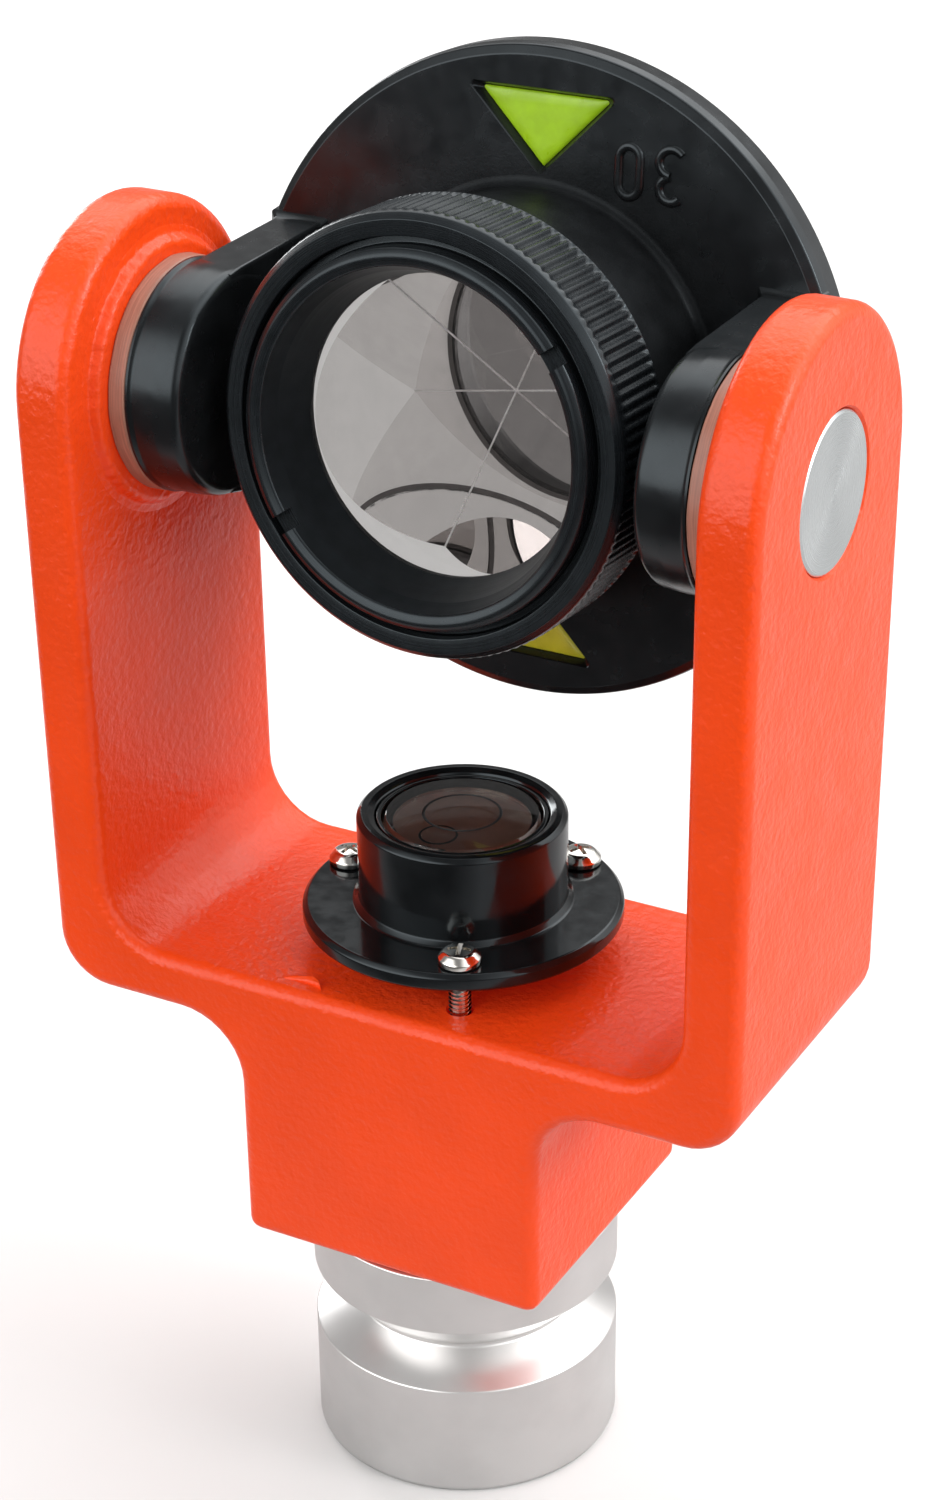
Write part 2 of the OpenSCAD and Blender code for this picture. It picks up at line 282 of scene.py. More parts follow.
# ---------------------------------------------------------------- materials
class Paint:
    """A node material round one Principled BSDF."""

    def __init__(self, name, colour, rough, metal=0.0, **extra):
        self.mat = bpy.data.materials.new(name)
        self.mat.use_nodes = True
        self.tree = self.mat.node_tree
        self.main = self.tree.nodes["Principled BSDF"]
        self.colour = colour
        self.set(self.main, {"Base Color": (*colour, 1), "Roughness": rough, "Metallic": metal})
        self.set(self.main, extra)
        self.rough = rough
        self.point = self.node("TexCoord").outputs["Object"]
        self.bump_from = None

    def set(self, node, values):
        for key, value in values.items():
            socket = node.inputs[key]
            if isinstance(value, bpy.types.NodeSocket):
                self.tree.links.new(value, socket)
            else:
                socket.default_value = value

    def node(self, kind, settings=None, **values):
        n = self.tree.nodes.new("ShaderNode" + kind)
        for key, value in (settings or {}).items():
            setattr(n, key, value)
        self.set(n, {k.replace("_", " "): v for k, v in values.items()})
        return n

    def math(self, operation, a, b=0.0, c=0.0):
        n = self.node("Math", {"operation": operation})
        for socket, value in zip(n.inputs, (a, b, c)):
            if isinstance(value, bpy.types.NodeSocket):
                self.tree.links.new(value, socket)
            else:
                socket.default_value = value
        return n.outputs[0]

    def noise(self, scale, detail=3.0, rough=0.5, vector=None, distort=0.0):
        n = self.node("TexNoise", Scale=scale, Detail=detail, Roughness=rough, Distortion=distort)
        self.tree.links.new(vector or self.point, n.inputs["Vector"])
        return n.outputs["Fac"]

    def remap(self, value, low, high, start=0.35, end=0.65):
        n = self.node("MapRange", Value=value)
        for key, v in (("From Min", start), ("From Max", end), ("To Min", low), ("To Max", high)):
            n.inputs[key].default_value = v
        return n.outputs["Result"]

    def around(self, origin, place_turn, radial=1.0, axial=1.0, angular=0.0):
        """Noise coordinates (radius, height, angle) about a turned part's axis, in millimetres."""
        shift = self.node("VectorMath", {"operation": "SUBTRACT"})
        self.tree.links.new(self.point, shift.inputs[0])
        shift.inputs[1].default_value = origin
        turn = self.node("VectorRotate", {"rotation_type": "EULER_XYZ", "invert": True})
        self.tree.links.new(shift.outputs[0], turn.inputs["Vector"])
        turn.inputs["Rotation"].default_value = place_turn
        parts = self.node("SeparateXYZ")
        self.tree.links.new(turn.outputs[0], parts.inputs[0])
        x, y, z = parts.outputs
        r = self.math("SQRT", self.math("ADD", self.math("MULTIPLY", x, x), self.math("MULTIPLY", y, y)))
        a = self.math("ARCTAN2", y, x)
        join = self.node("CombineXYZ")
        self.set(join, {"X": self.math("MULTIPLY", r, radial / MM),
                        "Y": self.math("MULTIPLY", z, axial / MM),
                        "Z": self.math("MULTIPLY", a, angular)})
        return join.outputs[0]

    def tint(self, value, dark, light):
        """Base colour between dark and light times the paint's colour."""
        mix = self.node("Mix", {"data_type": "RGBA"})
        self.tree.links.new(value, mix.inputs["Factor"])
        mix.inputs[6].default_value = (*[c * dark for c in self.colour], 1)
        mix.inputs[7].default_value = (*[min(1, c * light) for c in self.colour], 1)
        self.tree.links.new(mix.outputs[2], self.main.inputs["Base Color"])

    def bump(self, value, strength, distance):
        n = self.node("Bump", Strength=strength, Height=value)
        n.inputs["Distance"].default_value = distance * MM
        if self.bump_from:
            self.tree.links.new(self.bump_from, n.inputs["Normal"])
        self.bump_from = n.outputs["Normal"]
        self.tree.links.new(self.bump_from, self.main.inputs["Normal"])

    def vary_rough(self, value, spread):
        self.tree.links.new(self.remap(value, max(0.02, self.rough - spread), self.rough + spread),
                            self.main.inputs["Roughness"])


SLATE = (0.80, 0.93, 1.0, 1)   # the cool tint of everything the black paints mirror


def powder_paint():
    """Fluorescent orange powder coat: its faint red glow is painted light, keeping the red strong on the
    shaded faces.
    """
    p = Paint("powder_coat", (0.86, 0.072, 0.006), 0.34)
    p.set(p.main, {"Coat Weight": 0.12, "Coat Roughness": 0.12, "Specular IOR Level": 0.33,
                   "Emission Color": (1.0, 0.0, 0.006, 1), "Emission Strength": 0.10})
    peel = p.noise(1300, 2, 0.5)
    fine = p.noise(3600, 2)
    p.bump(peel, 0.8, 0.20)
    p.bump(fine, 0.3, 0.04)
    p.tint(p.remap(p.noise(90, 4), 0, 1), 0.94, 1.03)
    p.vary_rough(p.noise(260, 3), 0.05)
    return p.mat


def black_paint(name, colour, rough, coat, peel_scale, peel):
    p = Paint(name, colour, rough)
    p.set(p.main, {"Coat Weight": coat, "Coat Roughness": 0.12, "Specular IOR Level": 0.42,
                   "Specular Tint": SLATE})
    p.bump(p.noise(peel_scale, 2), peel, 0.05)
    p.tint(p.remap(p.noise(300, 5), 0, 1), 0.7, 1.5)
    p.vary_rough(p.noise(500, 4), 0.06)
    return p.mat


def target_paint():
    """Gloss black over the casting, thin and grainy where the gun can't reach, round the hub."""
    p = Paint("gloss_black", (0.008, 0.0088, 0.0096), 0.22)
    p.set(p.main, {"Coat Weight": 0.03, "Coat Roughness": 0.12, "Specular Tint": SLATE})
    parts = p.node("SeparateXYZ")
    p.tree.links.new(p.around(tuple(PIVOT), TARGET_TURN), parts.inputs[0])
    hub = p.remap(parts.outputs["X"], 1, 0, 17.5, 21.0)
    p.bump(p.noise(800, 2), 0.08, 0.05)
    p.bump(p.math("MULTIPLY", p.noise(2300, 3, 0.7), hub), 0.8, 0.05)
    shine = p.math("SUBTRACT", 0.42, p.math("MULTIPLY", hub, 0.3))
    p.tree.links.new(shine, p.main.inputs["Specular IOR Level"])
    p.tint(p.remap(p.noise(300, 5), 0, 1), 0.75, 1.4)
    rough = p.math("ADD", p.remap(p.noise(500, 4), 0.2, 0.28), p.math("MULTIPLY", hub, 0.2))
    p.tree.links.new(rough, p.main.inputs["Roughness"])
    return p.mat


def anodised_paint(origin, turn, name="black_anodised", rough=0.27, shine=0.42):
    p = Paint(name, (0.008, 0.0095, 0.011), rough)
    p.set(p.main, {"Specular IOR Level": shine, "Specular Tint": SLATE})
    rings = p.noise(1, 2, 0.6, p.around(origin, turn, 9, 9, 0.5))
    p.bump(rings, 0.02, 0.02)
    p.bump(p.noise(2600, 2), 0.05, 0.012)
    p.tint(p.remap(p.noise(700, 4), 0, 1), 0.85, 1.3)
    p.vary_rough(rings, 0.05)
    return p.mat


def turned_metal(name, colour, rough, origin, turn, axis, anisotropy, groove, depth, metallic=1.0):
    """Bare metal with fine lathe marks round its axis; groove is their count for each millimetre."""
    p = Paint(name, colour, rough, metallic)
    marks = p.noise(1, 3, 0.7, p.around(origin, turn, groove, groove, 0.15))
    smudge = p.noise(120, 4)
    p.bump(marks, depth, 0.012)
    p.tint(p.remap(smudge, 0, 1), 0.93, 1.03)
    p.vary_rough(marks, depth * 0.7)
    tangent = p.node("Tangent", {"direction_type": "RADIAL", "axis": axis})
    p.tree.links.new(tangent.outputs[0], p.main.inputs["Tangent"])
    p.main.inputs["Anisotropic"].default_value = anisotropy
    return p.mat


def plain_metal(name, colour, rough, bump=0.15, scale=900):
    p = Paint(name, colour, rough, 1.0)
    p.bump(p.noise(scale, 4), bump, 0.015)
    p.tint(p.remap(p.noise(300, 4), 0, 1), 0.8, 1.1)
    p.vary_rough(p.noise(700, 3), rough * 0.3)
    return p.mat


def fibre_paint():
    p = Paint("tan_fibre", (0.36, 0.165, 0.115), 0.42)
    streak = p.noise(1, 4, 0.65, p.around(tuple(PIVOT), (0, math.pi / 2, 0), 2.5, 6.5, 1.3))
    p.tint(p.remap(streak, 0, 1, 0.3, 0.7), 0.7, 1.35)
    p.bump(streak, 0.3, 0.05)
    p.vary_rough(streak, 0.12)
    return p.mat


def rubber_paint():
    p = Paint("black_rubber", (0.018, 0.018, 0.019), 0.62)
    p.bump(p.noise(1800, 4), 0.3, 0.03)
    p.tint(p.remap(p.noise(500, 4), 0, 1), 0.7, 1.5)
    p.vary_rough(p.noise(900, 3), 0.1)
    return p.mat


def fluorescent_paint(name, colour):
    p = Paint(name, colour, 0.34)
    p.set(p.main, {"Emission Color": (*colour, 1), "Emission Strength": 0.05})
    p.bump(p.noise(1400, 3), 0.25, 0.03)
    p.tint(p.remap(p.noise(420, 5), 0, 1), 0.86, 1.1)
    p.vary_rough(p.noise(500, 3), 0.08)
    return p.mat


def clear(name, colour, ior, rough=0.0, bump=0.0):
    p = Paint(name, colour, rough)
    p.set(p.main, {"Transmission Weight": 1.0, "IOR": ior})
    p.tint(p.remap(p.noise(160, 2), 0, 1), 0.985, 1.0)
    if bump:
        p.bump(p.noise(900, 2), bump, 0.01)
    return p.mat


def bubble_paint():
    """Air inside the fluid; its dark rim is painted shade, where the light is turned away."""
    p = Paint("bubble", (1, 1, 1), 0.0)
    p.set(p.main, {"Transmission Weight": 1.0, "IOR": 1 / 1.36})
    edge = p.node("LayerWeight")
    edge.inputs["Blend"].default_value = 0.5
    p.tint(p.remap(edge.outputs["Facing"], 1, 0, 0.62, 0.80), 0.03, 1.0)
    return p.mat


def dial_paint():
    p = Paint("dial_base", (0.30, 0.155, 0.13), 0.5)
    # the emission is painted light, for the light that hardly reaches the dial through the glass and fluid
    p.set(p.main, {"Emission Color": (1.0, 0.47, 0.40, 1), "Emission Strength": 0.022})
    p.bump(p.noise(1500, 3), 0.2, 0.02)
    p.tint(p.remap(p.noise(350, 4), 0, 1), 0.85, 1.15)
    return p.mat


def mirror_paint():
    p = Paint("mirror_back", (0.84, 0.825, 0.82), 0.0, 1.0)
    p.tint(p.remap(p.noise(500, 4), 0, 1), 0.97, 1.0)
    return p.mat


def floor_paint():
    """White paper to the camera; away from the spigot it reflects little into the gloss black."""
    p = Paint("paper", (0.70, 0.70, 0.697), 0.8)
    p.bump(p.noise(700, 4), 0.05, 0.05)
    p.tint(p.remap(p.noise(30, 3), 0, 1), 0.99, 1.01)
    front = p.node("VectorMath", {"operation": "DOT_PRODUCT"})
    p.tree.links.new(p.point, front.inputs[0])
    front.inputs[1].default_value = (-0.25, -0.97, 0)
    seen = p.remap(front.outputs["Value"], 0.45, 0.06, 0.055, 0.105)
    mirrored = p.node("BsdfDiffuse")
    shade = p.node("CombineColor")
    p.set(shade, {"Red": seen, "Green": seen, "Blue": seen})
    p.tree.links.new(shade.outputs[0], mirrored.inputs["Color"])
    path = p.node("LightPath")
    mix = p.node("MixShader")
    p.tree.links.new(path.outputs["Is Camera Ray"], mix.inputs[0])
    p.tree.links.new(mirrored.outputs[0], mix.inputs[1])
    p.tree.links.new(p.main.outputs[0], mix.inputs[2])
    p.tree.links.new(mix.outputs[0], p.tree.nodes["Material Output"].inputs["Surface"])
    return p.mat


def target_turn():
    """The Euler turn that lays local Z along the target's axis."""
    back = TARGET.to_3x3().col[1]
    return (math.atan2(-back.z, back.y) * -1 - math.pi / 2, 0, 0)


TARGET_TURN = target_turn()
POWDER = powder_paint()
GLOSS = target_paint()
VIAL_BLACK = black_paint("vial_black", (0.006, 0.0068, 0.0075), 0.14, 0.06, 1100, 0.05)
ANODISED = anodised_paint(tuple(PIVOT), TARGET_TURN)
MATT_BORE = anodised_paint(tuple(PIVOT), TARGET_TURN, "matt_bore", 0.4, 0.2)
SATIN = turned_metal("satin_aluminium", (0.80, 0.79, 0.78), 0.31, (0, 0, 0), (0, 0, 0), "Z",
                     0.3, 5, 0.015, 0.85)
CAP_METAL = turned_metal("turned_aluminium", (0.64, 0.665, 0.67), 0.24, tuple(PIVOT),
                         (0, math.pi / 2, 0), "X", 0.85, 14, 0.12)
STEEL = plain_metal("spring_steel", (0.50, 0.51, 0.53), 0.26)
NICKEL = plain_metal("nickel", (0.78, 0.76, 0.72), 0.12, 0.05, 1500)
BRONZE = plain_metal("bronze", (0.52, 0.34, 0.15), 0.42, 0.4)
BLACK_STEEL = plain_metal("black_steel", (0.05, 0.05, 0.055), 0.38, 0.3)
FIBRE = fibre_paint()
RUBBER = rubber_paint()
LIME = fluorescent_paint("fluorescent", (0.36, 0.62, 0.012))
# the lower inlay's yellower colour is a painted reflection of the orange yoke below it
LIME_ORANGE_BOUNCE = fluorescent_paint("fluorescent_orange_bounce", (0.56, 0.56, 0.025))
GLASS = clear("prism_glass", (0.93, 0.915, 0.912), 1.52)
MIRROR = mirror_paint()
VIAL_GLASS = clear("vial_glass", (0.96, 0.95, 0.92), 1.50)
FLUID = clear("vial_fluid", (0.92, 0.84, 0.74), 1.36)
BUBBLE = bubble_paint()
# black for the printed circle and the blackened wall, also used as painted shade on the bubble's rim
INK_AND_SHADE = rubber_paint()
INK_AND_SHADE.name = "ink_and_painted_shade"
DIAL = dial_paint()


# ---------------------------------------------------------------- yoke
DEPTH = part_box("yoke")[1].y / MM
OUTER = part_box("yoke")[1].x / MM
BASE_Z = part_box("yoke")[0].z / MM
BOSS_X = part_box("friction_washer_right")[1].x / MM
INNER = BOSS_X + 1.0
TOP_Z, DECK_Z = PIVOT.z / MM, FLOOR_Z / MM
UNDER_Z = DECK_Z - 5.0   # underside of the floor
STEM = 14.9              # half width of the stem block
EAR_STEPS = 40


def yoke_side():
    """Right half of the front outline from the stem's bottom to the inside of the ear, x and z."""
    pts = [(STEM, BASE_Z), (STEM, UNDER_Z, 6.0), (OUTER, UNDER_Z, 5.0), (OUTER, TOP_Z),
           (INNER, TOP_Z), (INNER, DECK_Z, 6.0), (0, DECK_Z)]
    return rounded(pts, 9, closed=False)


def yoke_body():
    """The front outline pulled to the back, with each ear's top rounded over from front to back."""
    half = yoke_side()
    ring = half[:-1] + [Vector((-p.x, p.y)) for p in reversed(half[:-1])]
    bm = bmesh.new()
    front = [bm.verts.new((p.x, -DEPTH, p.y)) for p in ring]
    back = [bm.verts.new((p.x, DEPTH, p.y)) for p in ring]
    bm.faces.new(front)
    bm.faces.new(back)
    arcs = {}
    for i, p in enumerate(ring):
        if abs(p.y - TOP_Z) < 1e-6:
            arcs[i] = [front[i]]
            for k in range(1, EAR_STEPS):
                a = math.pi * k / EAR_STEPS
                arcs[i].append(bm.verts.new((p.x, -DEPTH * math.cos(a), TOP_Z + DEPTH * math.sin(a))))
            arcs[i].append(back[i])
    for i in range(len(ring)):
        j = (i + 1) % len(ring)
        if i in arcs and j in arcs:
            for k in range(EAR_STEPS):
                a, b = arcs[i], arcs[j]
                bm.faces.new((a[k], b[k], b[k + 1], a[k + 1]))
            continue
        loop = [front[i], front[j]]
        loop += arcs[j][1:-1] if j in arcs else []
        loop += [back[j], back[i]]
        loop += list(reversed(arcs[i][1:-1])) if i in arcs else []
        bm.faces.new(loop)
    o = from_bmesh("yoke_casting", bm, WORLD)
    return soften(o, 1.25, 5, 40)


def boss_wave(a, r, h):
    """The uneven paint on the boss's shoulder."""
    wave = 0.03 * math.sin(23 * a) + 0.03 * math.sin(53 * a + 2) + 0.02 * math.sin(97 * a)
    return wave * (10.3 < r < 11.7)


def boss(side):
    """The raised ring round the pivot on the ear's inner face."""
    profile = [(0, BOSS_X), (11.05, BOSS_X, 0.75), (11.5, INNER - 0.12, 0.45), (12.5, INNER + 0.03, 0.5),
               (12.5, INNER + 1.5), (0, INNER + 1.5)]
    return lathe("boss", profile, side_place(side), 256, 6, boss_wave)


def burr():
    """The low ridge that the casting left on the floor, front left of the vial."""
    path = [(-10.9, -12.6, 0.0), (-9.9, -12.3, 0.28), (-8.9, -12.15, 0.42), (-8.0, -12.2, 0.5),
            (-7.3, -12.5, 0.42), (-6.9, -13.0, 0.0)]   # x, y and height above the floor
    sunk, root, arc_steps = 0.05, 0.6, 9
    rings = []
    for k, (x, y, h) in enumerate(path):
        w = 0.16 + h * 0.55
        ring = []
        for s in range(arc_steps + 1):
            a = math.pi * s / arc_steps
            rough = 1 + 0.12 * math.sin(5.1 * k + 2.3 * s)
            z = DECK_Z - sunk + (h + 0.06) * math.sin(a) * rough
            ring.append((x + 0.25 * math.cos(a), y - w * math.cos(a), z))
        ring.append((x, y, DECK_Z - root))
        rings.append(ring)
    return loft("burr", rings, WORLD)


def pivot_bore(side):
    """The stepped bore of an ear: bush, washer pocket and cap seat, opening with a small chamfer."""
    bush_r, pocket_r, seat_r, mouth_r = 4.2, 5.9, 6.64, 7.1
    pocket_x, seat_x = 29.42, 31.98
    profile = [(0, BOSS_X - 1), (bush_r, BOSS_X - 1), (bush_r, pocket_x), (pocket_r, pocket_x),
               (pocket_r, seat_x), (seat_r, seat_x), (seat_r, OUTER - 0.28), (mouth_r, OUTER + 0.3),
               (mouth_r, OUTER + 2), (0, OUTER + 2)]
    return lathe("bore", profile, side_place(side), 96)


def bolt_pocket():
    """The counterbore through the floor and stem for the bolt that holds the spigot."""
    shank_r, head_r, mouth_r, depth = 4.4, 6.9, 7.2, 8.5
    profile = [(0, BASE_Z - 1), (shank_r, BASE_Z - 1), (shank_r, DECK_Z - depth),
               (head_r, DECK_Z - depth), (head_r, DECK_Z - 0.3), (mouth_r, DECK_Z + 0.2),
               (mouth_r, DECK_Z + 1), (0, DECK_Z + 1)]
    place = Matrix.Translation((centre("vial_housing").x, 0, 0)) @ WORLD
    return lathe("bolt_pocket", profile, place, 64)


def screw_hole(node):
    r, mouth_r = 1.04, 1.32
    profile = [(0, UNDER_Z - 1), (r, UNDER_Z - 1), (r, DECK_Z - 0.35),
               (mouth_r, DECK_Z + 0.1), (mouth_r, DECK_Z + 1), (0, DECK_Z + 1)]
    return lathe("hole", profile, upright(node), 40)


def build_yoke():
    o = yoke_body()
    add(o, boss(-1), boss(1))
    cut(o, pivot_bore(-1), pivot_bore(1), bolt_pocket(), *[screw_hole(node) for node in SCREWS])
    dress(o, POWDER, "yoke", "yoke", 38)


build_yoke()
dress(burr(), POWDER, "yoke", None, 60)


# ---------------------------------------------------------------- spigot
def build_spigot():
    """Two bands with a V groove between them, and the pole thread's hole below."""
    band_r, groove_r, thread_r, bolt_r = 14.3, 10.6, 7.94, 4.0
    hole = 12.0   # depth of the pole thread's hole
    profile = [(thread_r, hole), (thread_r, 0.85), (8.75, 0.0), (14.0, 0.0, 0.5), (band_r, 0.5, 0.5),
               (band_r, 11.7, 0.25), (groove_r, 14.2, 0.9), (groove_r, 14.6, 0.9), (band_r, 18.4, 0.3),
               (band_r, BASE_Z - 0.12, 0.2), (13.9, BASE_Z), (bolt_r, BASE_Z), (bolt_r, 14.4),
               (0, 14.4), (0, 13.2), (6.9, hole)]
    o = lathe("spigot_body", profile, WORLD, 192, 8)
    dress(o, SATIN, "yoke", "spigot", 30)


build_spigot()


# ---------------------------------------------------------------- pivots
WASHER_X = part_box("friction_washer_right")[0].x / MM   # the friction washer's inner face


def washer_wave(a, r, h):
    """A punched washer isn't quite round."""
    return 0.03 * math.sin(7 * a) * (r > 9) + 0.02 * math.sin(19 * a + 1) * (r > 9)


def build_pivot(side, word):
    """The turned cap in the ear and the fibre washer between the boss and the lug."""
    place = side_place(side)
    seat, face, cap_r, washer_r, pin_r = 32.0, OUTER - 0.02, 6.58, 10.0, 3.2
    cap = [(0, seat), (cap_r, seat), (cap_r, face - 0.2, 0.15), (cap_r - 0.23, face, 0.1)]
    cap += [(1.3, face - 0.03, 3.0), (0, face - 0.06)]
    dress(lathe("cap_" + word, cap, place, 128), CAP_METAL, "yoke", "pivot_cap_" + word,
          25)
    ring = [(pin_r, WASHER_X), (washer_r - 0.05, WASHER_X, 0.22), (washer_r, BOSS_X, 0.22), (pin_r, BOSS_X)]
    dress(lathe("friction_" + word, ring, place, 160, 4, washer_wave), FIBRE, "yoke",
          "friction_washer_" + word, 35)


build_pivot(-1, "left")
build_pivot(1, "right")

# ---------------------------------------------------------------- target
LUG_IN, LUG_OUT = 20.6, WASHER_X - 0.05
HUB_R, HUB_FRONT, HUB_BORE = 16.6, 2.2, 14.65
DISC_Y, DISC_BACK, DISC_R = 13.8, 17.6, 28.1
TRIANGLE, TRIANGLE_APEX = 6.9, 17.6   # half width, and distance of the lower corner from the axis


def target_disc():
    """The hub and the disc with its bevelled rim."""
    profile = [(0, HUB_FRONT), (HUB_R, HUB_FRONT, 0.5), (HUB_R, DISC_Y, 0.9), (27.2, DISC_Y, 0.3),
               (27.95, DISC_Y + 0.45, 0.35), (DISC_R, DISC_Y + 1.3, 0.7), (DISC_R, DISC_BACK - 0.5, 0.4),
               (27.6, DISC_BACK, 0.4), (0, DISC_BACK)]
    return lathe("target_plate", profile, TURN_Y, 224, 8)


def arm(side):
    """The flat-topped arm from the lug back to the disc, flaring a little where they meet."""
    inside, outside = 20.72, 25.28
    # distance behind the axis, half height, inner and outer side
    sections = ((-0.9, 9.45, inside, outside), (0.6, 9.72, inside, outside), (12.9, 10.75, inside, outside),
                (13.4, 10.85, 20.6, 25.4), (13.85, 11.3, 20.15, 25.9), (15.0, 11.4, 20.0, 26.0))
    rings = []
    for y, top, inner, outer in sections:
        corners = [(inner, -top, 0.3), (outer, -top, 0.3), (outer, top, 0.3), (inner, top, 0.3)]
        rings.append([(side * p.x, y, p.y) for p in rounded(corners, 3)])
    return loft("arm", rings, TARGET)


def lug(side):
    """The round end of an arm, with a thin collar against the washer."""
    collar_r, collar_x = 9.95, 25.3
    profile = [(0, LUG_IN), (9.55, LUG_IN, 0.95), (9.75, 23.0, 4.0), (9.78, 25.0, 1.0),
               (collar_r, collar_x, 0.1), (collar_r, LUG_OUT), (0, LUG_OUT)]
    return lathe("lug", profile, TARGET @ outwards(side), 160, 8)


def triangle(up):
    """Corners of a right-angled triangle pointing at the axis: x and z of the target."""
    base = up * (TRIANGLE_APEX + TRIANGLE)
    return [(0, up * TRIANGLE_APEX), (TRIANGLE, base), (-TRIANGLE, base)]


def shrink(points, by):
    """Moves each side of a right-angled triangle inwards."""
    (_, z0), (x1, z1), (x2, z2) = points
    up = 1 if z0 > 0 else -1
    corner = by * (1 + math.sqrt(2))
    return [(0, z0 + up * by * math.sqrt(2)), (x1 - corner, z1 - up * by), (x2 + corner, z2 - up * by)]


def rounded_ring(points, radius, y):
    """Corners in the target's x and z, rounded, at distance y behind the axis."""
    return [(p.x, y, p.y) for p in rounded([(*p, radius) for p in points], 5)]


def recess(up):
    """A drafted triangular pocket with a softened rim."""
    base = triangle(up)
    rings = [rounded_ring(shrink(base, -0.45), 0.35, DISC_Y - 0.4),
             rounded_ring(shrink(base, -0.12), 0.35, DISC_Y - 0.02),
             rounded_ring(shrink(base, 0.02), 0.3, DISC_Y + 0.14),
             rounded_ring(shrink(base, 0.30), 0.25, DISC_Y + 0.85),
             rounded_ring(shrink(base, 0.42), 0.2, DISC_Y + 1.0)]
    return loft("recess", rings, TARGET)


def inlay(up, name, node):
    """The layer of fluorescent paint in a recess, with a rounded rim."""
    base = triangle(up)
    level = DISC_Y + 1.02
    rings = [rounded_ring(shrink(base, 0.40), 0.2, level),
             rounded_ring(shrink(base, 0.36), 0.2, level - 0.16),
             rounded_ring(shrink(base, 0.46), 0.25, level - 0.30),
             rounded_ring(shrink(base, 0.75), 0.3, level - 0.38),
             rounded_ring(shrink(base, 1.3), 0.2, level - 0.40)]
    o = loft(name, rings, TARGET)
    # the lower inlay is painted yellower: a painted reflection of the orange yoke below it
    paint = LIME if node == "inlay_upper" else LIME_ORANGE_BOUNCE
    return dress(o, paint, "target", node, 40)


def stroke(points, radius, closed):
    """A round bead along a path in the target's x and z, half sunk in the disc's face."""
    sides = 12
    rings, n = [], len(points)
    for i, p in enumerate(points):
        before = Vector(points[i - 1] if i or closed else p)
        after = Vector(points[(i + 1) % n] if i < n - 1 or closed else p)
        along = (after - before).normalized()
        side = Vector((-along.y, along.x))
        ring = []
        for k in range(sides):
            a = TAU * k / sides
            off = side * (radius * math.cos(a))
            ring.append((p[0] + off.x, DISC_Y + 0.08 + radius * 0.95 * math.sin(a), p[1] + off.y))
        rings.append(ring)
    bm = bmesh.new()
    rows = [[bm.verts.new(v) for v in ring] for ring in rings]
    pairs = list(zip(rows, rows[1:])) + ([(rows[-1], rows[0])] if closed else [])
    for a, b in pairs:
        for k in range(sides):
            j = (k + 1) % sides
            bm.faces.new((a[k], a[j], b[j], b[k]))
    if not closed:
        bm.faces.new(rows[0])
        bm.faces.new(rows[-1])
    return from_bmesh("stroke", bm, TARGET)


def arc(cx, cz, rx, rz, start, end, steps):
    """Points of an elliptical arc between two angles in degrees."""
    angles = [math.radians(start + (end - start) * k / steps) for k in range(steps + 1)]
    return [(cx + rx * math.cos(a), cz + rz * math.sin(a)) for a in angles]


def figures():
    """Raised figures of the offset in millimetres, read with the target turned over: 30."""
    nought = arc(8.2, 19.95, 0.95, 1.0, 0, 180, 12) + arc(8.2, 17.85, 0.95, 1.0, 180, 360, 12)
    upper = arc(12.0, 20.05, 1.15, 1.1, 40, 262, 20)
    lower = arc(12.0, 17.88, 1.05, 1.0, 98, 320, 20)
    bead = 0.42
    return [stroke(nought, bead, True), stroke(upper, bead, False), stroke(lower, bead, False)]


def drill(r, start, end, place, segments):
    return lathe("drill", [(0, start), (r, start), (r, end), (0, end)], place, segments)


def build_target():
    screw_r = 2.02
    o = target_disc()
    add(o, arm(-1), arm(1), lug(-1), lug(1), *figures())
    tools = [drill(HUB_BORE, -5, 30, TURN_Y, 160), recess(1), recess(-1)]
    tools += [drill(screw_r, LUG_IN + 0.9, 30, TARGET @ outwards(side), 40) for side in (-1, 1)]
    cut(o, *tools)
    dress(o, GLOSS, "target", "target_holder", 34)
    inlay(1, "paint_upper", "inlay_upper")
    inlay(-1, "paint_lower", "inlay_lower")


build_target()

# ---------------------------------------------------------------- canister
KNURLS, KNURL_DEPTH, GRIP_R = 126, 0.26, 18.4
FRONT, SHOULDER = -6.3, 1.5          # the barrel's front face and the shoulder behind its grip
NECK_R, NECK_END = 14.6, 20.0
BORE_R, GLASS_R = 13.25, 13.2
RING_BORE_R, FLANGE_BORE_R = 15.2, 16.42
GLASS_Y, FLANGE_Y = -1.2, -4.5       # front of the glass, and the retaining ring's flange
APEX = 19.25                         # where the three mirrors meet
CUBE_ROLL = 30                       # turn of the corner cube about its axis, degrees


def knurl(a, r, y):
    """Grooves in the grip, running out softly at both ends."""
    if r < GRIP_R - 0.2:
        return 0.0
    inside = min(1.0, max(0.0, (y + 5.35) / 0.7), max(0.0, (1.42 - y) / 0.5))
    ridge = 0.5 + 0.5 * math.cos(KNURLS * a)
    return -KNURL_DEPTH * math.sqrt(inside) * (1 - ridge ** 0.8)


